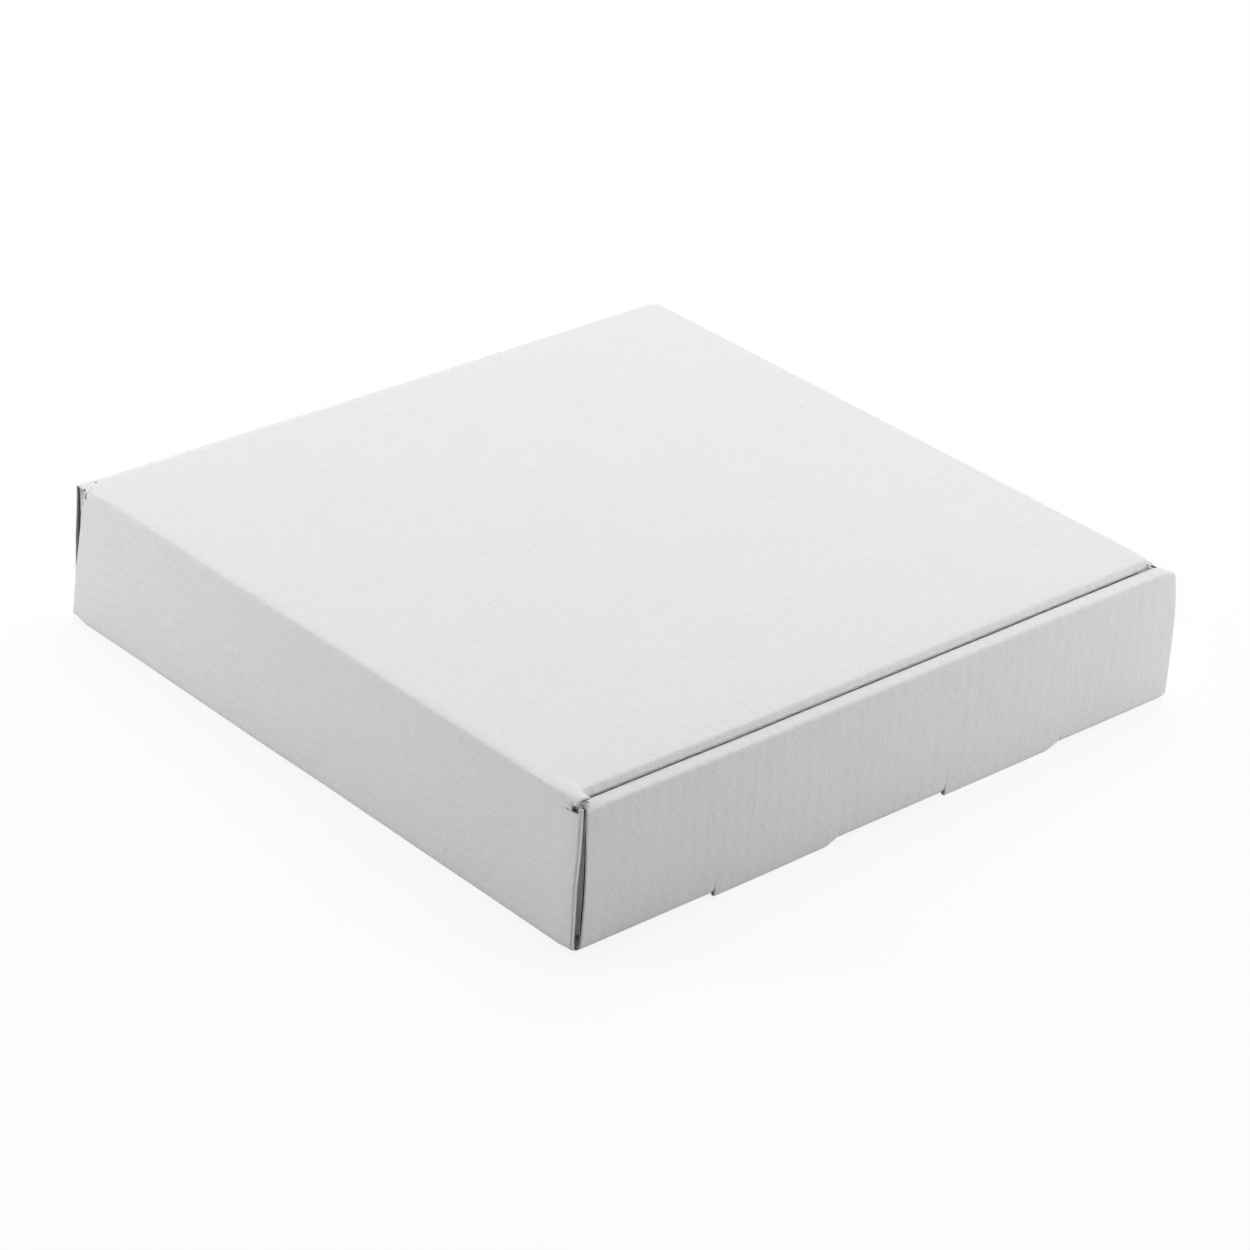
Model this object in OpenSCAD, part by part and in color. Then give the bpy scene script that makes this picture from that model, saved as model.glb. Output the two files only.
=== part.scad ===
// Flat shipping box of white corrugated board, folded from one die-cut sheet.
// The hinge wall is at -Y, the front wall at +Y and the rolled side walls at -X and +X.
// The sheet is divided only where the lid turns, at its crease on top of the hinge wall.

/* [Box] */
// Outer width across the rolled side walls
box_w = 150; // [100:1:300]
// Outer depth from the hinge wall to the front wall
box_d = 154.5; // [100:0.5:300]
// Outer height with the lid shut
box_h = 31; // [20:1:80]

/* [Board] */
// Thickness of the corrugated board
board = 1.5; // [1.2:0.1:2]
// Inside radius of a fold between two panels
fold_in = 0.6; // [0.4:0.1:1]
// Air between boards that lie against each other
layer_gap = 0.1; // [0.05:0.05:0.2]

/* [Side walls] */
// Inside radius of the two tight folds on top of a rolled side wall
roll_in = 0.6; // [0.2:0.1:0.8]
// Gap from the end of a rolled side wall to the inside of the hinge wall or front wall
roll_end_gap = 0.15; // [0.1:0.05:1]

/* [Locking tabs] */
// Distance between the middles of the two tabs of one side wall
tab_pitch = 58.8; // [45:0.2:65]
// How far the middle between the two tabs lies towards the front wall
tab_shift = 1.5; // [0:0.1:3]
// Length of the slot in the base for one tab
slot_l = 31.2; // [15:0.2:35]
// Length of the slanted end of a slot
slot_slant = 6; // [1:0.5:8]
// Clearance between a tab and its slot
tab_clear = 0.4; // [0.2:0.1:1]

/* [Dust flaps] */
// Length of a dust flap from the outer face of its wall
dust_l = 42; // [20:1:45]
// How far the free end of a dust flap tapers
dust_taper = 6; // [0:1:12]

/* [Front wall] */
// How far the top of the front wall lies below the top of the lid
front_drop = 4.5; // [3.5:0.1:8]

/* [Lid] */
// How far the side edge of the lid stands back from the side wall's outer face
lid_inset = 3.5; // [1:0.1:4]
// Gap between the lid and the rolled side walls under it
lid_gap = 0.3; // [0.2:0.1:1]
// Gap across the lid's crease
hinge_gap = 0.3; // [0.2:0.1:1]

/* [Tuck flap] */
// Length of the tuck flap below its fold
tuck_l = 26; // [12:0.5:26]
// Gap between the tuck flap's fold and the inside of the front wall
tuck_play = 2.8; // [1:0.1:4]
// Inward lean of the tuck flap, in degrees
tuck_lean = 3.5; // [3:0.5:8]
// Length of an ear at each end of the tuck flap
ear_l = 24; // [10:1:40]
// How far the top of an ear lies below the tuck flap's fold
ear_drop = 3; // [2:0.5:6]
// Gap between an ear and the side wall beside it
ear_gap = 0.5; // [0.3:0.1:1.5]
// Radius of an ear's free corner
ear_r = 8; // [2:0.5:9]

/* [Hidden] */
$fn = 96;

half_w = box_w / 2;
half_d = box_d / 2;
// Outside radii of the two kinds of fold
fold_out = fold_in + board;
roll_out = roll_in + board;
// A side wall holds its outer board, a dust flap and its inner board
wall_w = 3 * board + 2 * layer_gap;
wall_face = half_w - wall_w;
roll_top = box_h - board - lid_gap;
roll_end = half_d - board - roll_end_gap;
// The dust flaps lie against the outer boards, above the curve of the base's folds
dust_face = half_w - board - layer_gap;
dust_top = roll_top - board - layer_gap;
dust_low = fold_out;
// The flat part of the hinge wall and front wall, between the bends of their dust flaps
flat_half = dust_face - fold_out;
// The lid's crease stays between the rolled side walls
crease_half = wall_face - lid_gap;
crease_z = box_h - fold_out;
tuck_fold_y = half_d - board - tuck_play - fold_out;
ear_face = wall_face - ear_gap;
// Straight board at each end of a fold, which runs into the panels that the fold joins
lap = board / 4;
// Surplus by which a cutting shape passes the surface that it cuts
past = board;
white = [0.93, 0.93, 0.93];

// A flat outline in X and Z, carried along Y from y0 to y1
module along_y(y0, y1)
    translate([0, y1, 0]) rotate([90, 0, 0]) linear_extrude(y1 - y0) children();

// A flat outline in Y and Z, carried along X from x0 to x1
module along_x(x0, x1)
    translate([x0, 0, 0]) rotate([90, 0, 90]) linear_extrude(x1 - x0) children();

// A flat rectangle from one corner to the opposite one
module plate(low, high)
    translate(low) square([high[0] - low[0], high[1] - low[1]]);

// The curve of a fold about its centre, which lies at the origin
module fold_ring(inside = fold_in)
    difference() {
        circle(inside + board);
        circle(inside);
    }

// The section of a fold of 90 degrees about its centre, from the direction turn onwards
module fold_section(centre, turn, last_lap = lap, inside = fold_in)
    translate(centre) rotate(turn) {
        intersection() {
            fold_ring(inside);
            square(inside + board + past);
        }
        translate([inside, -lap]) square([board, lap]);
        if (last_lap > 0) translate([-last_lap, inside]) square([last_lap, board]);
    }

module both_sides() {
    children();
    mirror([1, 0, 0]) children();
}

module both_ends() {
    children();
    mirror([0, 1, 0]) children();
}

// Flat bottom between its four folds
module base()
    translate([fold_out - half_w, fold_out - half_d, 0])
        cube([box_w - 2 * fold_out, box_d - 2 * fold_out, board]);

// Outer board up from the base, over the top in two tight folds, and inner board down again
module rolled_side_wall()
    along_y(-roll_end, roll_end) {
        fold_section([half_w - fold_out, fold_out], 270);
        plate([half_w - board, fold_out], [half_w, roll_top - roll_out]);
        fold_section([half_w - roll_out, roll_top - roll_out], 0, inside = roll_in);
        plate([wall_face + roll_out, roll_top - board], [half_w - roll_out, roll_top]);
        fold_section([wall_face + roll_out, roll_top - roll_out], 90, inside = roll_in);
        plate([wall_face, board + layer_gap], [wall_face + board, roll_top - roll_out]);
    }

// A wall that stands on a fold at the -Y edge of the base, up to the height top
module end_wall(top)
    along_x(-flat_half, flat_half) {
        fold_section([fold_out - half_d, fold_out], 180);
        plate([-half_d, fold_out], [board - half_d, top]);
    }

// The bend at the +X end of a -Y wall, and the flap that it leads inside the rolled side wall
module dust_flap() {
    translate([0, 0, dust_low]) linear_extrude(dust_top - dust_low)
        fold_section([flat_half, fold_out - half_d], 270);
    along_x(dust_face - board, dust_face)
        polygon([
            [fold_out - half_d, dust_low],
            [fold_out + lap - half_d, dust_low],
            [dust_l - half_d, dust_low + dust_taper],
            [dust_l - half_d, dust_top],
            [fold_out - half_d, dust_top]
        ]);
}

// The middle of the hinge wall, which alone reaches up to the lid's crease
module crease_rise()
    along_x(-crease_half, crease_half)
        plate([-half_d, fold_out], [board - half_d, crease_z - hinge_gap]);

// The middles of the two slots of a side wall
slot_middles = [tab_shift - tab_pitch / 2, tab_shift + tab_pitch / 2];

// The first and last Y of the slot whose middle lies at middle_y
function slot_low(middle_y) = middle_y - slot_l / 2;
function slot_high(middle_y) = middle_y + slot_l / 2;

// The hole through the base and its fold for one tab
module tab_slot(middle_y)
    translate([wall_face - tab_clear, slot_low(middle_y), -past])
        cube([wall_w + tab_clear + past, slot_l, fold_out + past]);

// The straight cut edge of the outer board along a slot, slanted up to the fold at one end
module slot_edge(middle_y)
    along_x(half_w - board, half_w)
        polygon([
            [slot_low(middle_y), 0],
            [slot_high(middle_y) - slot_slant, 0],
            [slot_high(middle_y), fold_out],
            [slot_high(middle_y), fold_out + past],
            [slot_low(middle_y), fold_out + past]
        ]);

// The tab of the inner board that fills the slot down to the underside of the base
module tab(middle_y)
    translate([wall_face, slot_low(middle_y) + tab_clear, 0])
        cube([board, slot_l - 2 * tab_clear, fold_out + past]);

// Base, four walls, dust flaps and locking tabs
module tray()
    color(white) {
        difference() {
            union() {
                base();
                both_sides() {
                    rolled_side_wall();
                    both_ends() dust_flap();
                }
                end_wall(dust_top);
                mirror([0, 1, 0]) end_wall(box_h - front_drop);
            }
            both_sides() for (middle_y = slot_middles) tab_slot(middle_y);
        }
        crease_rise();
        both_sides() for (middle_y = slot_middles) {
            slot_edge(middle_y);
            tab(middle_y);
        }
    }

// The section of the lid's front fold, which turns past 90 degrees by the tuck flap's lean
module tuck_fold_section() {
    intersection() {
        fold_ring();
        polygon([
            [0, 0],
            [2 * fold_out * cos(tuck_lean), -2 * fold_out * sin(tuck_lean)],
            [2 * fold_out, 2 * fold_out],
            [0, 2 * fold_out]
        ]);
    }
    translate([-lap, fold_in]) square([lap, board]);
    rotate(-tuck_lean) translate([fold_in, -lap]) square([board, lap]);
}

// The ear at the +X end of the tuck flap, with its bend and its round free corner
module ear() {
    translate([0, 0, -tuck_l]) linear_extrude(tuck_l - ear_drop)
        fold_section([ear_face - fold_out, 0], 0);
    along_x(ear_face - board, ear_face) {
        plate([ear_r - ear_l, -tuck_l], [0, -ear_drop]);
        plate([-ear_l, ear_r - tuck_l], [0, -ear_drop]);
        translate([ear_r - ear_l, ear_r - tuck_l]) circle(ear_r);
    }
}

// Flat panel, its crease on the hinge wall, and the tuck flap with its ears
module lid()
    color(white) {
        translate([lid_inset - half_w, fold_out - half_d, box_h - board])
            cube([box_w - 2 * lid_inset, tuck_fold_y + half_d - fold_out, board]);
        along_x(-crease_half, crease_half)
            fold_section([fold_out - half_d, crease_z], 90, last_lap = 0);
        translate([0, tuck_fold_y, crease_z]) {
            along_x(fold_out - ear_face, ear_face - fold_out) tuck_fold_section();
            rotate([-tuck_lean, 0, 0]) {
                along_x(fold_out - ear_face, ear_face - fold_out)
                    plate([fold_in, -tuck_l], [fold_out, 0]);
                both_sides() ear();
            }
        }
    }

tray();
lid();
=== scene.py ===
"""A flat shipping box of white corrugated board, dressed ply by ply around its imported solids."""
import math

import bpy
import numpy as np
from mathutils import Matrix, Vector


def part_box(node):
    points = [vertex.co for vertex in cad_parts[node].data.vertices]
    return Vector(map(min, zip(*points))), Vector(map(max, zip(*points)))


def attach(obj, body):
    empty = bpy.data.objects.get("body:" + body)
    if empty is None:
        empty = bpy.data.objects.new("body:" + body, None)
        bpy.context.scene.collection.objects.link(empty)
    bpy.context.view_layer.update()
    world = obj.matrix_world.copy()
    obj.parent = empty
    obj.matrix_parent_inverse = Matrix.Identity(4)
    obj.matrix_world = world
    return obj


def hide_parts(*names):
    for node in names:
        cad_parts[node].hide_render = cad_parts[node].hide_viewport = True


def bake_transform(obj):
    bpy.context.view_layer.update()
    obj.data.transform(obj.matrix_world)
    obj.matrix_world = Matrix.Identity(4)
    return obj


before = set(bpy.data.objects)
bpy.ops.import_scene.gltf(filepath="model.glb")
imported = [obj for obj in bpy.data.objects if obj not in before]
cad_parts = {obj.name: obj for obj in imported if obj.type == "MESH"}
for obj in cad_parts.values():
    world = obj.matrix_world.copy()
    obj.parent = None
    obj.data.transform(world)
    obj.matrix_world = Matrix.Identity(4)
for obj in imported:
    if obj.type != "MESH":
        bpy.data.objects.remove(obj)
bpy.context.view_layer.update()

# The tray: base, hinge wall, front wall, four dust flaps and two rolled side walls with their
# tabs. The real one is cut and creased flat with a die, then folded up dry. All sizes are in
# millimetres, and u and v are the flat sheet's own coordinates, across and along the box.
MM = 0.001
TRAY_HIGH = np.array(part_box("tray")[1]) / MM
LID_HIGH = np.array(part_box("lid")[1]) / MM
HALF_W, HALF_D, BOX_H = TRAY_HIGH[0], TRAY_HIGH[1], LID_HIGH[2]
BOARD = 1.5
PAPER = 0.2
MEDIUM = 0.16
FLUTE = 3.4
FOLD_OUT = 2.1
LAYER_GAP = 0.1
WALL_W = 3 * BOARD + 2 * LAYER_GAP
ROLL_TOP = 29.2
ROLL_END = HALF_D - BOARD - 0.15
DUST_FACE = HALF_W - BOARD - LAYER_GAP
DUST_TOP = ROLL_TOP - BOARD - LAYER_GAP
DUST_L, DUST_TAPER = 42.0, 6.0
FRONT_TOP = 26.5
SEAM_Z = 28.6
SLOT_MIDDLES, SLOT_HALF, SLOT_SLANT, TAB_CLEAR = (-27.9, 30.9), 15.6, 6.0, 0.4
# The last stretch of a slot's slant shows, down to this share of the fold's height
SLANT_SHOWS, SLANT_END = 3.4, 0.47
KNIFE = 0.12
LEAN = math.radians(3.5)
TUCK_FOLD_Y = HALF_D - BOARD - 2.8 - FOLD_OUT


def folded_run(corners, radius):
    """A run of board seen end on: straight lines from corner to corner, turning left at each inner
    corner on an arc that starts radius * tan(turn / 2) before it. Returns the lengths at which the
    arcs start and end, and a function of length for place and outward normal (a, b, na, nb)."""
    corners = np.array(corners, float)
    heading = np.diff(corners, axis=0)
    heading /= np.linalg.norm(heading, axis=1)[:, None]
    places, normals, marks = [corners[0]], [(heading[0, 1], -heading[0, 0])], []
    for corner, before, after in zip(corners[1:-1], heading[:-1], heading[1:]):
        turn = math.acos(float(before @ after))
        start = corner - before * radius * math.tan(turn / 2)
        centre = start + radius * np.array([-before[1], before[0]])
        first = math.atan2(-before[0], before[1])
        angles = np.linspace(first, first + turn, 25)
        arc = np.stack([np.cos(angles), np.sin(angles)], 1)
        marks += [len(places), len(places) + len(arc) - 1]
        places += list(centre + radius * arc)
        normals += list(arc)
    places.append(corners[-1])
    normals.append((heading[-1, 1], -heading[-1, 0]))
    table = np.hstack([places, normals])
    length = np.concatenate([[0], np.cumsum(np.linalg.norm(np.diff(table[:, :2], axis=0), axis=1))])

    def at(distance):
        a, b, na, nb = (np.interp(distance, length, column) for column in table.T)
        size = np.sqrt(na ** 2 + nb ** 2)
        return a, b, na / size, nb / size

    return list(length[marks]), length[-1], at


SIDE_STOPS, SIDE_L, side_run = folded_run(
    [(0, 0), (HALF_W, 0), (HALF_W, ROLL_TOP), (HALF_W - WALL_W, ROLL_TOP), (HALF_W - WALL_W, 0)],
    FOLD_OUT)
TUCK_CORNER = TUCK_FOLD_Y + FOLD_OUT * math.tan(math.pi / 4 + LEAN / 2)
# The run over the hinge wall goes on along the lid to its tuck flap, which is longer than it needs
TUCK_RUN = 60
END_STOPS, _, end_run = folded_run(
    [(0, 0), (HALF_D, 0), (HALF_D, BOX_H), (-TUCK_CORNER, BOX_H),
     (-TUCK_CORNER + math.tan(LEAN) * TUCK_RUN, BOX_H - TUCK_RUN)], FOLD_OUT)
DUST_STOPS, DUST_END, dust_run = folded_run(
    [(0, 0), (DUST_FACE, 0), (DUST_FACE, DUST_L)], FOLD_OUT)
# The hinge wall's dust flaps are folded tighter than those of the front wall
TIGHT = 0.6
_, _, tight_run = folded_run(
    [(0, 0), (DUST_FACE, 0), (DUST_FACE, DUST_L)], TIGHT)
BASE_FOLD, WALL_FOOT = SIDE_STOPS[:2]
END_FOLD, END_FOOT = END_STOPS[:2]
SEAM_V = END_FOOT + SEAM_Z - FOLD_OUT
SHOULDER_V = END_FOOT + DUST_TOP - FOLD_OUT
FRONT_V = END_FOOT + FRONT_TOP - FOLD_OUT
FLAP_HALF = DUST_STOPS[0]
# The bends at the ends of the hinge wall start a little below and end a little above its straight part
BEND_FOOT, LEFT_BEND_FOOT = END_FOOT - 1.414, END_FOOT - 0.47
BEND_RISE = SEAM_V + 1.3
CREASE_HALF, LEFT_CREASE = 72.5, 69.6
TAB_U, TAB_END = SIDE_L - BOARD - LAYER_GAP, SIDE_L - 0.9
RIPPLE = 0.005
# By height: how far the hinge wall's bend at +X stands out past its flap, how far that flap stands
# back from the side wall behind the bend, and how far the bend at -X bulges out past its own place
BEND_OUT = [3, 8, 14, 21, 26], [1.2, 1.1, 1.0, 1.35, 1.4]
FLAP_BACK = [3, 12, 20, 26], [1.3, 1.1, 0.6, 0.2]
LEFT_BULGE = [2, 12, 28], [1.0, -0.3, -4.0]
# By |u|: how far past its true end the board of a rolled side wall was cut
END_U = [BASE_FOLD, WALL_FOOT, WALL_FOOT + 10, SIDE_STOPS[2] - 7, SIDE_STOPS[2], SIDE_STOPS[3],
         SIDE_STOPS[5], SIDE_L - 18]
END_MORE = {"near": [-0.2, -0.25, -0.5, -0.25, 0.2, -0.5, -1.4, -0.2],
            "left": [0.1, 0.2, 0.2, 0.2, 0.15, 0.1, -0.8, -0.2],
            "far": [1.1, 1.2, 1.05, 0.85, 0.0, -0.7, -1.2, -0.2]}


def stations(*groups, closest=0.02):
    """Joins runs of positions into one rising list, without any that lie closer together."""
    joined = np.sort(np.concatenate([np.atleast_1d(group) for group in groups]))
    return joined[np.concatenate([[True], np.diff(joined) > closest])]


def spread(first, last, step):
    """Even positions from first to last, about step apart."""
    return np.linspace(first, last, max(2, int(round(abs(last - first) / step)) + 1))


def slot_place(v):
    """Position within a slot: distance from the slot's middle, and 1 where the row is in a slot."""
    middle = np.where(v > 0, SLOT_MIDDLES[1], SLOT_MIDDLES[0])
    return v - middle, np.abs(v - middle) < SLOT_HALF + 1e-6


def bent_wall(u, v, run, flap_run, flap_on):
    """A wall whose ends bend round: end_run(|v|) gives its height and depth, and flap_run(|u|) the
    way across, whose second part is taken off along the wall's own inward normal."""
    q, z, nq, nz = run(np.abs(v))
    x, inward, nx, nb = flap_run(np.abs(u))
    x = np.where(flap_on, x, np.abs(u))
    inward = np.where(flap_on, inward, 0)
    nx, nb = np.where(flap_on, nx, 0), np.where(flap_on, nb, -1)
    side, end = np.where(u < 0, -1, 1), np.where(v < 0, -1, 1)
    place = np.stack([side * x, end * (q - inward * nq), z - inward * nz], -1)
    return place, np.stack([side * nx, -end * nb * nq, -nb * nz], -1)


def hinge_bend(v):
    """The run round the end of a wall at each row: dust_run at the front wall, and at the hinge wall
    tight_run, whose distance is stretched so that both are equally far round after the bend."""
    later = (FOLD_OUT - TIGHT) * (1 - math.pi / 4)
    stretched_from = 60

    def run(distance):
        share = np.clip((distance - stretched_from) / (FLAP_HALF - stretched_from), 0, 1)
        both = zip(tight_run(distance + later * share), dust_run(distance))
        return [np.where(v < 0, tight, wide) for tight, wide in both]

    return run


def tray_shape(u, v):
    """Outer face and normal of the folded tray. Side walls are side_run(|u|) carried along v, and
    the walls at the ends are end_run(|v|) with their dust flaps bent round by dust_run(|u|)."""
    across, along = np.abs(u), np.abs(v)
    x, z, nx, nz = side_run(across)
    from_middle, in_slot = slot_place(v)
    # Along a slot the outer board runs straight down, up to a slant at the slot's +Y end
    straight = in_slot & (across < WALL_FOOT) & (across > BASE_FOLD + 0.5)
    slant = np.clip(SLANT_END + (1 - SLANT_END) * (SLOT_HALF - from_middle) / SLANT_SHOWS, SLANT_END, 1)
    x = np.where(straight, HALF_W, x)
    z = np.where(straight, FOLD_OUT - (WALL_FOOT - across) * slant, z)
    nx, nz = np.where(straight, 1, nx), np.where(straight, 0, nz)
    side = np.where(u < 0, -1, 1)
    last = np.clip((along - ROLL_END + 8) / 8, 0, 1) ** 2
    near, left, far = (np.interp(across, END_U, END_MORE[end]) for end in ("near", "left", "far"))
    more = np.where(v > 0, far, np.where(u < 0, -left, -near))
    # The roll is pressed 0.7 mm lower where it ends at the front wall
    z = z - 0.7 * np.clip((v - 71.5) / 4, 0, 1) ** 1.5 * np.clip((z - 20) / 9, 0, 1)
    # Its outer fold is squarer than an arc, most of all where the -X roll ends at the hinge wall
    share = np.clip((across - SIDE_STOPS[2]) / (SIDE_STOPS[3] - SIDE_STOPS[2]), 0, 1)
    square = (0.45 + 0.3 * np.clip((-v - 66) / 9, 0, 1) ** 2 * (u < 0)) * np.sin(math.pi * share)
    x, z = x + (HALF_W - x) * square, z + (ROLL_TOP - z) * square
    crumple = 0.16 * waver(across, 2.3, 0.9) * np.exp(-((along - ROLL_END) / 2.2) ** 2)
    crumple = crumple * np.clip((z - 20) / 6, 0, 1) * (across < SIDE_STOPS[4])
    more = more + 1.2 * crumple
    x, z = x - nx * np.abs(crumple), z - nz * np.abs(crumple)
    rolled = np.stack([side * x, v + more * last, z], -1), np.stack([side * nx, 0 * u, nz], -1)
    # The lower edge of a dust flap rises towards its free end, and its top corner is rounded
    out = np.clip((across - DUST_STOPS[1]) / (DUST_END - DUST_STOPS[1]), 0, 1)
    flap_height = SHOULDER_V - END_FOOT
    lifted = SHOULDER_V - (SHOULDER_V - along) * (1 - out * DUST_TAPER / flap_height)
    lifted = np.where((along >= END_FOOT - 0.01) & (along <= SHOULDER_V), lifted, along)
    wall = bent_wall(u, np.where(v < 0, -lifted, lifted), end_run, hinge_bend(v), along >= BEND_FOOT - 0.01)
    # The hinge wall's bend at +X stands out over the side wall's end, with a gap behind it
    on_hinge = v < -END_FOLD
    height = wall[0][..., 2]
    bent_out = np.interp(height, *BEND_OUT)
    bent_out = bent_out * np.clip((across - 67.5) / 5, 0, 1) * np.clip((73.85 - across) / 0.4, 0, 1)
    gap = np.interp(height, *FLAP_BACK) * np.exp(-((across - 74.9) / 1.1) ** 2)
    pulled = (gap - bent_out) * on_hinge
    # The one at -X bulges out at its foot and stands back towards its top
    bulge = np.interp(height, *LEFT_BULGE) * np.clip((across - 69.8) / 3.5, 0, 1) ** 2
    bulge = bulge * np.clip((DUST_STOPS[1] + 1 - across) / 2, 0, 1) * on_hinge
    pulled = np.where(u < 0, -bulge, pulled)
    rounded = 0.25 * np.clip((across - 70.3) / 3, 0, 1) ** 2 * (u > 0) * on_hinge
    wall = wall[0] - np.stack([side * pulled, -rounded, 0 * u], -1), wall[1]
    on_wall = (along > END_FOLD + 0.01) & ((across <= FLAP_HALF + 0.01) | (along > BEND_FOOT - 0.01))
    return [np.where(on_wall[..., None], w, r) for w, r in zip(wall, rolled)]


def tray_outline(u, v):
    """Where the die leaves board in the tray's part of the flat sheet (at the middles of cells)."""
    across, along = np.abs(u), np.abs(v)
    from_middle, in_slot = slot_place(v)
    near_slot = np.abs(from_middle) < SLOT_HALF + KNIFE
    rolled = (along < ROLL_END) & (across > BASE_FOLD)
    rolled &= (across < TAB_U) | ((np.abs(from_middle) < SLOT_HALF - TAB_CLEAR) & (across < TAB_END))
    base = (along < END_FOLD) & (across < BASE_FOLD)
    slot = near_slot & (across > HALF_W - WALL_W - TAB_CLEAR) & (across < WALL_FOOT)
    hanging = in_slot & (across > WALL_FOOT - FOLD_OUT) & (across < WALL_FOOT)
    side_part = ((rolled | base) & ~slot) | (hanging & (along < ROLL_END))
    top = np.where(v < 0, SEAM_V, FRONT_V)
    top = np.where((v < 0) & ((u > CREASE_HALF) | (u < -LEFT_CREASE)), BEND_RISE, top)
    wall = (along > END_FOLD) & (across < FLAP_HALF) & (along < top)
    foot = np.where((u < 0) & (v < 0), LEFT_BEND_FOOT, BEND_FOOT)
    bend = (along > foot) & (across > FLAP_HALF) & (across < DUST_STOPS[1]) & (along < top)
    flap_top = np.where(v < 0, SHOULDER_V, FRONT_V)
    flap = (along > END_FOOT) & (along < flap_top) & (across > FLAP_HALF) & (across < DUST_END)
    return side_part | wall | bend | flap


def cut_distance(u, v, board):
    """Distance from each grid point to the nearest cut edge, along the grid's own two directions:
    the lesser of the ways to the last and to the next point whose four cells aren't all board."""
    padded = np.pad(board, 1)
    blocked = ~(padded[:-1, :-1] & padded[1:, :-1] & padded[:-1, 1:] & padded[1:, 1:])

    def nearest(steps, axis):
        shape = [1, 1]
        shape[axis] = -1
        steps = np.broadcast_to(steps.reshape(shape), blocked.shape)
        last = np.maximum.accumulate(np.where(blocked, steps, -1e3), axis)
        following = np.flip(np.minimum.accumulate(np.flip(np.where(blocked, steps, 1e3), axis), axis), axis)
        return np.minimum(steps - last, following - steps)

    # A knife's slit is too narrow to crush the board past its ends
    found = np.minimum(nearest(u, 0), nearest(v, 1))
    wide = np.pad(found, ((0, 0), (2, 2)), mode="edge")
    return np.maximum(found, np.minimum(wide[:, :-4], wide[:, 4:]))


def waver(t, length, seed):
    """A smooth uneven wave between about -1 and 1: three sines whose lengths don't share a period."""
    t = np.asarray(t) * (2 * math.pi / length)
    return (np.sin(t + seed) + 0.6 * np.sin(1.73 * t + 2.1 * seed) + 0.4 * np.sin(2.91 * t + 3.7 * seed)) / 2


def settle(place):
    """How the folded box has settled out of true, as a shift of each point of space: its side walls
    lean in towards their top, its lid sags a little, and its long faces aren't flat."""
    x, y, z = np.moveaxis(place, -1, 0)
    half_up = 15.0
    tall = (z - half_up) / half_up
    lean_in = (0.2 + 0.35 * np.clip((y + 40) / 117, 0, 1)) * tall ** 2 * (x / HALF_W) ** 3
    lean_in = lean_in * np.where(tall < 0, 0.1, 1.0)
    wall_flat = 0.10 * (1 + waver(y, 95, 1.3)) * (x / HALF_W) ** 5
    hinge_flat = 0.10 * (1 + waver(x, 80, 0.4)) * np.clip(-y / HALF_D, 0, 1) ** 5
    sag = 0.16 * np.exp(-((y + 5) / 45) ** 2) * np.clip(z / BOX_H, 0, 1) ** 2
    return np.stack([-lean_in - wall_flat, hinge_flat, -sag], -1)


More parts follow.
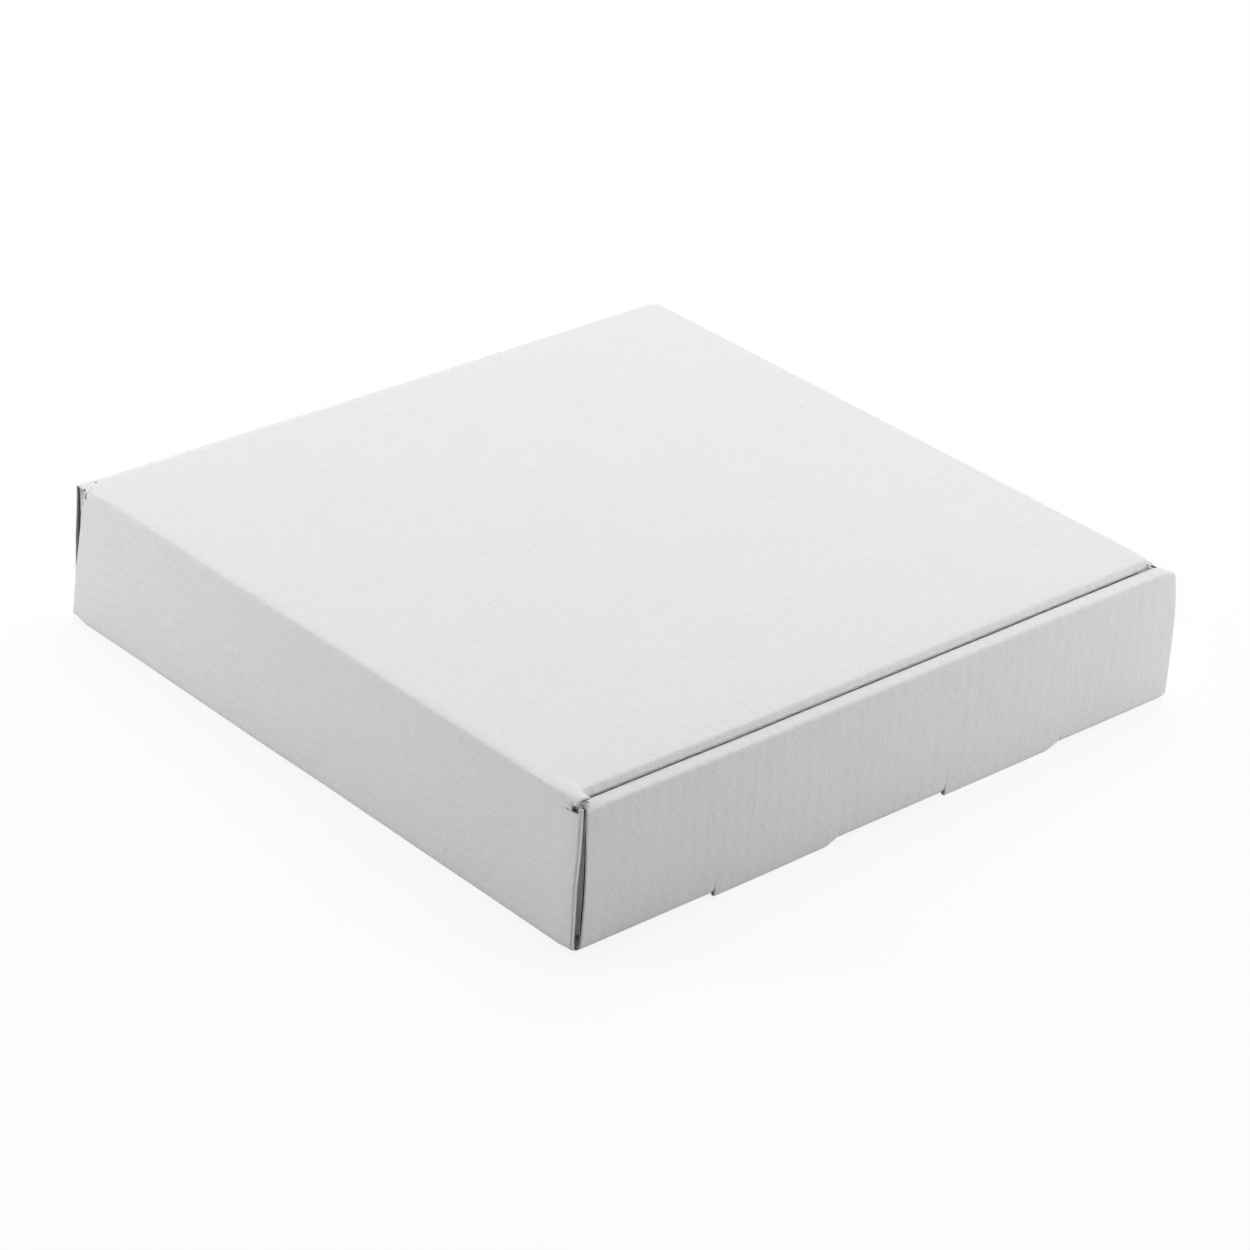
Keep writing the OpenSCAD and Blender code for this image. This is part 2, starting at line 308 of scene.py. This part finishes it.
def ply_mesh(name, u, v, board, joined, shape, upper, lower, core_side=-1):
    """One ply of the sheet as a closed skin: shape(u, v) gives the outer face and its normal, and
    the ply fills the depths from upper to lower under it, over the cells that are board.
    joined also holds cells past a seam, so that the seam isn't taken for a cut edge. core_side
    says which skin faces the flutes and takes the second material, whose darker grey is painted
    shade in the hollow between the liners: 0 the upper, 1 the lower."""
    flat_u, flat_v = np.meshgrid(u, v, indexing="ij")
    place, normal = shape(flat_u, flat_v)
    cut = cut_distance(u, v, joined)
    place = place + settle(place)
    skins = [place - normal * depth(flat_u, flat_v, cut)[..., None] for depth in (upper, lower)]
    count = flat_u.size
    index = np.arange(count).reshape(flat_u.shape)
    corners = np.stack([index[:-1, :-1], index[1:, :-1], index[1:, 1:], index[:-1, 1:]], -1)
    tops = corners[board]
    ringed = np.pad(joined, 1)
    rims = []
    for first, second, beside in ((0, 1, ringed[1:-1, :-2]), (1, 2, ringed[2:, 1:-1]),
                                  (2, 3, ringed[1:-1, 2:]), (3, 0, ringed[:-2, 1:-1])):
        a, b = corners[board & ~beside][:, first], corners[board & ~beside][:, second]
        rims.append(np.stack([b, a, a + count, b + count], -1))
    rims = np.concatenate(rims)
    faces = np.concatenate([tops, tops[:, ::-1] + count, rims])
    a, b, d = (skins[0].reshape(-1, 3)[tops[:, k]] for k in (0, 1, 3))
    facing = np.sum(np.cross(b - a, d - a) * normal.reshape(-1, 3)[tops[:, 0]])
    if facing < 0:
        faces = faces[:, ::-1]
    used, faces = np.unique(faces, return_inverse=True)
    faces = faces.reshape(-1, 4)
    points = np.concatenate([skin.reshape(-1, 3) for skin in skins])[used] * MM
    mesh = bpy.data.meshes.new(name)
    mesh.from_pydata(points, [], faces)
    smooth = np.ones(len(faces), bool)
    smooth[2 * len(tops):] = False
    mesh.polygons.foreach_set("use_smooth", smooth)
    # The skin towards the core takes the second material, whose darker grey is painted shade
    painted_core_shade = np.zeros(len(faces), np.int32)
    painted_core_shade[len(tops) * core_side:len(tops) * (core_side + 1)] = core_side >= 0
    mesh.polygons.foreach_set("material_index", painted_core_shade)
    edge_wear = mesh.attributes.new("edge_distance", "FLOAT", "POINT")
    edge_wear.data.foreach_set("value", np.tile(cut.ravel(), 2)[used].astype(np.float32))
    sheet = mesh.uv_layers.new(name="sheet")
    flat = np.tile(np.stack([flat_u.ravel(), flat_v.ravel()], 1), (2, 1))[used] * MM
    loops = np.zeros(len(mesh.loops), np.int64)
    mesh.loops.foreach_get("vertex_index", loops)
    sheet.data.foreach_set("uv", flat[loops].ravel().astype(np.float32))
    piece = bpy.data.objects.new(name, mesh)
    bpy.context.scene.collection.objects.link(piece)
    return piece


def flute_wave(v):
    """-1 where the fluted ply touches the outer liner and 1 where it touches the inner liner."""
    return np.sin(v * (2 * math.pi / FLUTE))


def crushed(cut, reach):
    """1 at a cut edge, falling off inwards as a bell curve of the given reach."""
    return np.exp(-(cut / reach) ** 2)


def creased(across, stops):
    """1 along the middle of each fold between its two stops, falling off past them."""
    depth = 0
    for first, last in zip(stops[::2], stops[1::2]):
        depth = depth + np.exp(-((across - (first + last) / 2) / (0.55 * (last - first))) ** 4)
    return depth


def fold_crush(u, v):
    """How much of the board's thickness the creasing rule took out of the folds."""
    across, along = np.abs(u), np.abs(v)
    on_side = (along < END_FOLD + 0.6) & (v > -SEAM_V)
    on_bend = (along > END_FOOT) & (along < SEAM_V)
    return 0.55 * (creased(across, SIDE_STOPS) * on_side + creased(along, END_STOPS)
                   + creased(across, DUST_STOPS) * on_bend)


def side_end(u, v):
    """1 at the ends of the side walls, where the die parted the flutes lengthwise and crushed less."""
    return (np.abs(np.abs(v) - ROLL_END) < 2.5) & (np.abs(u) > BASE_FOLD)


def outer_face(u, v, cut):
    """Depth of the outer liner's outer face: it sags between the flutes, and the die pinched it."""
    return RIPPLE * (1 + flute_wave(v)) + 0.14 * crushed(cut, 0.4) * (1 - 0.8 * side_end(u, v))


def inner_face(u, v, cut):
    """Depth of the inner liner's inner face, which sags and is pinched the other way."""
    pinch = 0.1 * crushed(cut, 0.4) * (1 - side_end(u, v))
    return BOARD - RIPPLE * (1 - flute_wave(v)) - pinch - fold_crush(u, v)


def under(face, depth):
    """The same face at a further depth."""
    return lambda u, v, cut: face(u, v, cut) + depth


def fluted(outer, inner, shift):
    """The fluted ply, which swings between the two liners; shift picks its own two faces."""
    def face(u, v, cut):
        high = outer(u, v, cut) + PAPER + MEDIUM / 2
        low = inner(u, v, cut) - PAPER - MEDIUM / 2
        return (high + low) / 2 + flute_wave(v) * (low - high) / 2 + shift * MEDIUM / 2
    return face


def both_ways(positions):
    """The positions and their mirror images."""
    return np.concatenate([-np.asarray(positions), positions])


# How far the core and the inner liner stand back at the ends of the side walls
CORE_BACK, INNER_BACK = 4.0, 0.4


def tray_grid(step):
    """Grid lines of the tray's sheet: all of its cuts and fold lines, and step between flute points."""
    across = stations(
        0.0, spread(0, HALF_W - WALL_W - TAB_CLEAR, 9), LEFT_CREASE, FLAP_HALF, WALL_FOOT - FOLD_OUT,
        spread(*DUST_STOPS[:2], 0.4), spread(72.2, 73.8, 0.4), CREASE_HALF, spread(*SIDE_STOPS[:2], 0.55),
        spread(*SIDE_STOPS[1:3], 4), spread(*SIDE_STOPS[2:4], 0.5), spread(*SIDE_STOPS[4:6], 0.5),
        spread(SIDE_STOPS[5], TAB_U, 9), TAB_END, DUST_END)
    slot_ends = [middle + side * (SLOT_HALF + more) for middle in SLOT_MIDDLES for side in (-1, 1)
                 for more in (0, KNIFE, -TAB_CLEAR)]
    slot_ends += [middle + SLOT_HALF - SLOT_SLANT for middle in SLOT_MIDDLES]
    cuts = [BEND_FOOT, LEFT_BEND_FOOT, SHOULDER_V, FRONT_V, SEAM_V, BEND_RISE]
    exact = np.concatenate([slot_ends, both_ways([ROLL_END - CORE_BACK, ROLL_END - INNER_BACK, ROLL_END]),
                            both_ways(cuts), both_ways(spread(END_FOLD, END_FOOT, 0.5))])
    regular = spread(-SEAM_V - 4, SEAM_V + 1, step)
    near = np.min(np.abs(regular[:, None] - exact[None]), axis=1) < 0.25 * step
    return both_ways(across[across > 0]).tolist() + [0.0], np.concatenate([regular[~near], exact])


def tray_ply(name, step, upper, lower, back=0.0, core_side=-1):
    """One ply of the tray. At the ends of the side walls the die cut along a flute, so that the
    core stands back from the edge between the two liners."""
    u, v = (stations(lines) for lines in tray_grid(step))
    middle_u, middle_v = np.meshgrid((u[1:] + u[:-1]) / 2, (v[1:] + v[:-1]) / 2, indexing="ij")
    board = tray_outline(middle_u, middle_v)
    board &= ~((np.abs(middle_u) > BASE_FOLD) & (np.abs(np.abs(middle_v) - ROLL_END) < back))
    past_seam = (middle_v < -SEAM_V) & (middle_u > -LEFT_CREASE) & (middle_u < FLAP_HALF)
    piece = ply_mesh(name, u, v, board, board | past_seam, tray_shape, upper, lower, core_side)
    # The faces towards the core take the second material, whose darker grey is painted shade in the hollow
    # between the liners
    if core_side >= 0:
        piece.data.materials.append(white_liner)
    piece.data.materials.append(medium_grey_and_painted_shade)
    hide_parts("tray")
    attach(piece, "tray")
    return piece


class Level:
    """A socket's number, written in sums: each operation adds one Math node to its tree."""

    def __init__(self, tree, socket):
        self.tree, self.socket = tree, socket

    def math(self, operation, other=0.0, turned=False):
        node = self.tree.nodes.new("ShaderNodeMath")
        node.operation = operation
        for place, value in zip((1, 0) if turned else (0, 1), (self, other)):
            if isinstance(value, Level):
                self.tree.links.new(value.socket, node.inputs[place])
            else:
                node.inputs[place].default_value = value
        return Level(self.tree, node.outputs[0])

    def __add__(self, other):
        return self.math("ADD", other)

    def __sub__(self, other):
        return self.math("SUBTRACT", other)

    def __rsub__(self, other):
        return self.math("SUBTRACT", other, turned=True)

    def __mul__(self, other):
        return self.math("MULTIPLY", other)

    def __truediv__(self, other):
        return self.math("DIVIDE", other)

    def __pow__(self, other):
        return self.math("POWER", other)

    def __gt__(self, other):
        return self.math("GREATER_THAN", other)

    def __lt__(self, other):
        return self.math("LESS_THAN", other)

    __radd__, __rmul__ = __add__, __mul__


class Finish:
    """The nodes of a material or of the world, under construction."""

    def __init__(self, owner):
        owner.use_nodes = True
        self.owner, self.tree = owner, owner.node_tree
        self.tree.nodes.clear()

    def node(self, kind, out=0, settings=(), **sockets):
        """Adds a node, makes its settings, then gives its sockets their values or links."""
        node = self.tree.nodes.new(kind)
        for name, value in dict(settings).items():
            setattr(node, name, value)
        for name, value in sockets.items():
            socket = node.inputs[int(name[1:]) if name[1:].isdigit() else name.replace("_", " ")]
            if isinstance(value, Level):
                self.tree.links.new(value.socket, socket)
            else:
                socket.default_value = value
        return Level(self.tree, node.outputs[out]) if node.outputs else None


def board_paper(name, grey, warmth, speck_share):
    """Uncoated white paper of a corrugated board: pulp clouds, fibre grain and stray dark specks,
    the shadow lines of the flutes under it, and greyer dust at its cut edges."""
    paper = Finish(bpy.data.materials.new(name))
    place = paper.node("ShaderNodeTexCoord", out="Object")
    flat = paper.node("ShaderNodeUVMap", settings={"uv_map": "sheet"})
    cut = paper.node("ShaderNodeAttribute", out="Fac", settings={"attribute_name": "edge_distance"})
    noise = {"noise_dimensions": "3D"}
    clouds = paper.node("ShaderNodeTexNoise", settings=noise, Vector=place, Scale=95.0, Detail=3.0)
    pulp = paper.node("ShaderNodeTexNoise", settings=noise, Vector=place, Scale=760.0, Detail=4.0,
                      Roughness=0.62)
    grain = paper.node("ShaderNodeTexNoise", settings=noise, Vector=place, Scale=2000.0, Detail=2.0)
    cells = paper.node("ShaderNodeTexVoronoi", out="Distance", Vector=place, Scale=190.0)
    chance = paper.node("ShaderNodeTexVoronoi", out="Color", Vector=place, Scale=190.0)
    pick = paper.node("ShaderNodeSeparateColor", Color=chance)
    size = paper.node("ShaderNodeSeparateColor", out=1, Color=chance)
    speck = (cells < 0.012 + size * 0.035) * (pick > 1 - speck_share)
    along = paper.node("ShaderNodeSeparateXYZ", out=1, Vector=flat)
    flutes = (along * (2 * math.pi / (FLUTE * MM))).math("SINE")
    dusty = (cut * -2.2).math("EXPONENT")
    light = (1 + (clouds - 0.5) * 0.030 + (pulp - 0.5) * 0.055 + (grain - 0.5) * 0.055
             - flutes * 0.0025 - dusty * 0.05)
    shade = light * (1 - speck * (0.16 + size * 0.3)) * grey
    colour = paper.node("ShaderNodeCombineColor", Red=shade * (1 + warmth), Green=shade,
                        Blue=shade * (1 - warmth))
    height = pulp * 0.6 + grain * 0.4 - flutes * 0.04
    bump = paper.node("ShaderNodeBump", Strength=0.9, Distance=0.00028, Height=height)
    rough = 0.78 + (pulp - 0.5) * 0.25
    surface = paper.node("ShaderNodeBsdfPrincipled", Base_Color=colour, Roughness=rough, Normal=bump,
                         Specular_IOR_Level=0.22)
    paper.node("ShaderNodeOutputMaterial", Surface=surface)
    return paper.owner


white_liner = board_paper("white_liner", 0.83, 0.0, 0.035)
# The fluted core: greyer paper than the liners, darkened further as painted shade for the hollow between the
# liners; the liners' faces towards the core take it too
medium_grey_and_painted_shade = board_paper("medium_grey_and_painted_shade", 0.36, 0.012, 0.02)

tray_ply("tray_outer_liner", FLUTE / 6, outer_face, under(outer_face, PAPER), core_side=1)
tray_ply("tray_inner_liner", FLUTE / 5, under(inner_face, -PAPER), inner_face, INNER_BACK, core_side=0)
tray_ply("tray_flutes", FLUTE / 8, fluted(outer_face, inner_face, -1), fluted(outer_face, inner_face, 1),
         CORE_BACK)


# The lid: the crease on top of the hinge wall, the flat panel, and the tuck flap with its two
# ears. It is the same sheet as the tray and runs on from it at the seam, so its plies are the same
# functions of u and v. The die crushed its long side edges, where the outer liner is rounded over.
TUCK_L = 26.0
EAR_FACE, EAR_L, EAR_DROP, EAR_R = HALF_W - WALL_W - 0.5, 24.0, 3.0, 8.0
EAR_STOPS, EAR_END, ear_run = folded_run(
    [(0, 0), (EAR_FACE, 0), (EAR_FACE, EAR_L + FOLD_OUT)], FOLD_OUT)
LID_STOP = END_STOPS[4]
TUCK_TOP = END_STOPS[5]
TUCK_END = TUCK_TOP + TUCK_L
LID_HALF = LID_HIGH[0]
WIDE_V = END_STOPS[3] + 1.3
# Just before the panel the crease is a little wider, as a lip
LIP_V, LIP_HALF, LEFT_LIP = END_STOPS[3] - 2.3, 73.5, 70.4
CORNER_V = LID_STOP + 1.9


def lid_shape(u, v):
    """Outer face and normal of the lid: end_run(|v|), with the ears bent round by ear_run(|u|)."""
    across, along = np.abs(u), np.abs(v)
    ear = (across > EAR_STOPS[1] - 0.01) & (along > TUCK_TOP + 0.01)
    # The free end of an ear is a straight line with its lower corner rounded on a circle
    low = np.clip((along - (TUCK_END - EAR_R)) / EAR_R, 0, 1)
    reach = EAR_L - EAR_R * (1 - np.sqrt(np.clip(1 - low ** 2, 0.0009, 1)))
    share = (across - EAR_STOPS[1]) / (EAR_END - EAR_STOPS[1])
    length = EAR_STOPS[1] + share * (reach / EAR_L) * (EAR_END - EAR_STOPS[1])
    across = np.where(ear, length, across)
    place, normal = bent_wall(np.where(u < 0, -across, across), v, end_run, ear_run, along > CORNER_V + 0.01)
    # The free side edges hang down onto the rolled side walls, the one at -X hardly
    far_end = np.clip((place[..., 1] - 58) / 17, 0, 1) ** 2
    droop = (0.38 - 0.2 * far_end) * np.clip((np.abs(place[..., 0]) - 58) / 13, 0, 1) ** 2
    droop = droop * np.clip((along - END_STOPS[3]) / 3, 0, 1) * np.where(u < 0, 0.2, 1)
    # The crease on the hinge wall is squarer than an arc
    share = np.clip((along - END_STOPS[2]) / (END_STOPS[3] - END_STOPS[2]), 0, 1)
    square = (0.42 + 0.1 * waver(u, 31, 2.2)) * np.sin(math.pi * share) * (along < END_STOPS[3])
    square = square * np.clip((np.where(u < 0, 69, 72.5) - np.abs(u)) / 4, 0, 1)
    corner = np.stack([place[..., 0], 0 * u - HALF_D, 0 * u + BOX_H], -1)
    place = place + (corner - place) * square[..., None]
    return place - droop[..., None] * [0, 0, 1], normal


def lid_outline(u, v):
    """Where the die leaves board in the lid's part of the flat sheet (at the middles of cells)."""
    across, along = np.abs(u), -v
    crease = (along > SEAM_V) & (along < WIDE_V) & (across < np.where(u > 0, CREASE_HALF, LEFT_CREASE))
    crease |= (along > LIP_V) & (along < WIDE_V) & (across < np.where(u > 0, LIP_HALF, LEFT_LIP))
    panel = (along > WIDE_V) & (along < LID_STOP) & (across < LID_HALF)
    panel |= (along > LID_STOP) & (along < CORNER_V) & (across < LID_HALF)
    tuck = (along > LID_STOP) & (along < TUCK_END) & (across < EAR_STOPS[0])
    ears = (along > TUCK_TOP + EAR_DROP) & (along < TUCK_END) & (across < EAR_END)
    return crease | panel | tuck | ears


def lid_ply(name, step, upper, lower, core_side=-1):
    """One ply of the lid, from the seam on the hinge wall over the crease to the tuck flap."""
    across = stations(
        0.0, spread(0, 60, 7.5), spread(60, EAR_STOPS[0], 2), spread(*EAR_STOPS[:2], 0.55),
        LEFT_CREASE, LEFT_LIP,
        spread(68, LID_HALF - 0.9, 0.5), spread(LID_HALF - 0.9, LID_HALF, 0.18), FLAP_HALF,
        spread(72, CREASE_HALF, 0.3), spread(CREASE_HALF, LIP_HALF, 0.3),
        spread(EAR_STOPS[1], EAR_END, 3))
    cuts = [SEAM_V, LIP_V, WIDE_V, LID_STOP, CORNER_V, TUCK_TOP, TUCK_TOP + EAR_DROP, TUCK_END]
    exact = np.concatenate([cuts, spread(*END_STOPS[2:4], 0.4), spread(*END_STOPS[4:6], 0.5)])
    regular = spread(SEAM_V - 2, TUCK_END, step)
    near = np.min(np.abs(regular[:, None] - exact[None]), axis=1) < 0.25 * step
    u = stations(both_ways(across[across > 0]), 0.0)
    v = stations(-np.concatenate([regular[~near], exact]))
    middle_u, middle_v = np.meshgrid((u[1:] + u[:-1]) / 2, (v[1:] + v[:-1]) / 2, indexing="ij")
    board = lid_outline(middle_u, middle_v)
    past_seam = (middle_v > -SEAM_V) & (middle_u > -LEFT_CREASE) & (middle_u < FLAP_HALF)
    piece = ply_mesh(name, u, v, board, board | past_seam, lid_shape, upper, lower, core_side)
    # The faces towards the core take the second material, whose darker grey is painted shade in the hollow
    # between the liners
    if core_side >= 0:
        piece.data.materials.append(white_liner)
    piece.data.materials.append(medium_grey_and_painted_shade)
    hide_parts("lid")
    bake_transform(piece)
    return piece


def rolled_over(u, v):
    """1 at the lid's long side edge at +X, 0.3 at the one at -X, and 0 on the rest of it."""
    edge = np.clip((np.abs(u) - LID_HALF + 3) / 3, 0, 1) * ((-v > WIDE_V) & (-v < CORNER_V))
    return edge * np.where(u < 0, 0.3, 1)


def lid_outer_face(u, v, cut):
    """As outer_face, but at the side edges the liner rolls over by up to 0.9 mm."""
    drop = 0.82 + 0.08 * waver(v, 23, 0.7)
    return outer_face(u, v, cut) + rolled_over(u, v) * drop * crushed(cut, 0.7)


def lid_inner_face(u, v, cut):
    """As inner_face, but nearly flat at the side edges, which lie on the rolled side walls."""
    return inner_face(u, v, cut) + rolled_over(u, v) * 0.02 * crushed(cut, 0.5)


lid_ply("lid_outer_liner", FLUTE / 6, lid_outer_face, under(lid_outer_face, PAPER), core_side=1)
lid_ply("lid_inner_liner", FLUTE / 5, under(lid_inner_face, -PAPER), lid_inner_face, core_side=0)
lid_ply("lid_flutes", FLUTE / 8, fluted(lid_outer_face, lid_inner_face, -1),
        fluted(lid_outer_face, lid_inner_face, 1))


# The studio: a plain pale floor that the camera sees as white but for the box's shadow, a large
# soft light overhead, two at the left and one at the right, and the photograph's own view.
FLOOR = 4.0
floor_mesh = bpy.data.meshes.new("floor")
floor_mesh.from_pydata([(-FLOOR, -FLOOR, 0), (FLOOR, -FLOOR, 0), (FLOOR, FLOOR, 0), (-FLOOR, FLOOR, 0)],
                       [], [(0, 1, 2, 3)])
floor = bpy.data.objects.new("floor", floor_mesh)
bpy.context.scene.collection.objects.link(floor)


def to_eye(finish):
    """1 for rays from the camera and for those that reflect off or pass through something."""
    rays = [finish.node("ShaderNodeLightPath", out=f"Is {kind} Ray")
            for kind in ("Camera", "Glossy", "Transmission")]
    return rays[0].math("MAXIMUM", rays[1]).math("MAXIMUM", rays[2])


pale = Finish(bpy.data.materials.new("pale_floor"))
matt = pale.node("ShaderNodeBsdfDiffuse", Color=(0.72, 0.72, 0.72, 1))
bright = pale.node("ShaderNodeBsdfDiffuse", Color=(0.98, 0.98, 0.98, 1))
glow = pale.node("ShaderNodeEmission", Color=(1, 1, 1, 1), Strength=1.0)
seen = pale.node("ShaderNodeMixShader", Fac=0.86, i1=bright, i2=glow)
floor_look = pale.node("ShaderNodeMixShader", Fac=to_eye(pale), i1=matt, i2=seen)
pale.node("ShaderNodeOutputMaterial", Surface=floor_look)
floor_mesh.materials.append(pale.owner)

world = bpy.data.worlds.new("studio")
bpy.context.scene.world = world
backdrop = Finish(world)
soft = backdrop.node("ShaderNodeBackground", Color=(1, 1, 1, 1), Strength=0.2)
white = backdrop.node("ShaderNodeBackground", Color=(1, 1, 1, 1), Strength=1.0)
room = backdrop.node("ShaderNodeMixShader", Fac=to_eye(backdrop), i1=soft, i2=white)
backdrop.node("ShaderNodeOutputWorld", Surface=room)


def soft_light(name, place, target, width, height, power):
    """A rectangular softbox at place, turned to face target."""
    lamp = bpy.data.lights.new(name, "AREA")
    lamp.shape, lamp.size, lamp.size_y, lamp.energy = "RECTANGLE", width, height, power
    light = bpy.data.objects.new(name, lamp)
    bpy.context.scene.collection.objects.link(light)
    light.location = place
    light.rotation_euler = (Vector(target) - Vector(place)).to_track_quat("-Z", "Y").to_euler()


soft_light("overhead", (-0.25, 0.30, 0.75), (0, 0, 0.03), 0.8, 0.8, 5.3)
soft_light("left_low", (-0.34, -0.40, 0.16), (-0.06, -0.07, 0.02), 0.35, 0.3, 0.78)
soft_light("left_high", (-0.75, -0.60, 0.40), (-0.03, -0.05, 0.02), 0.5, 0.5, 2.5)
soft_light("right_low", (0.40, 0.36, 0.16), (0.07, 0.06, 0.02), 0.35, 0.3, 1.18)

camera = bpy.data.objects.new("camera", bpy.data.cameras.new("camera"))
bpy.context.scene.collection.objects.link(camera)
bpy.context.scene.camera = camera
camera.data.sensor_width = 36.0
camera.data.lens = 123.582
right = Vector((0.66519467, 0.74414534, 0.06134958))
up = Vector((-0.39526775, 0.28123897, 0.874453))
back = Vector((0.63346623, -0.60593098, 0.48121532))
camera.matrix_world = Matrix((
    (right.x, up.x, back.x, 0.53001947),
    (right.y, up.y, back.y, -0.50544351),
    (right.z, up.z, back.z, 0.40968994),
    (0, 0, 0, 1)))
camera.data.clip_start = 0.01
bpy.context.scene.view_settings.view_transform = "Standard"
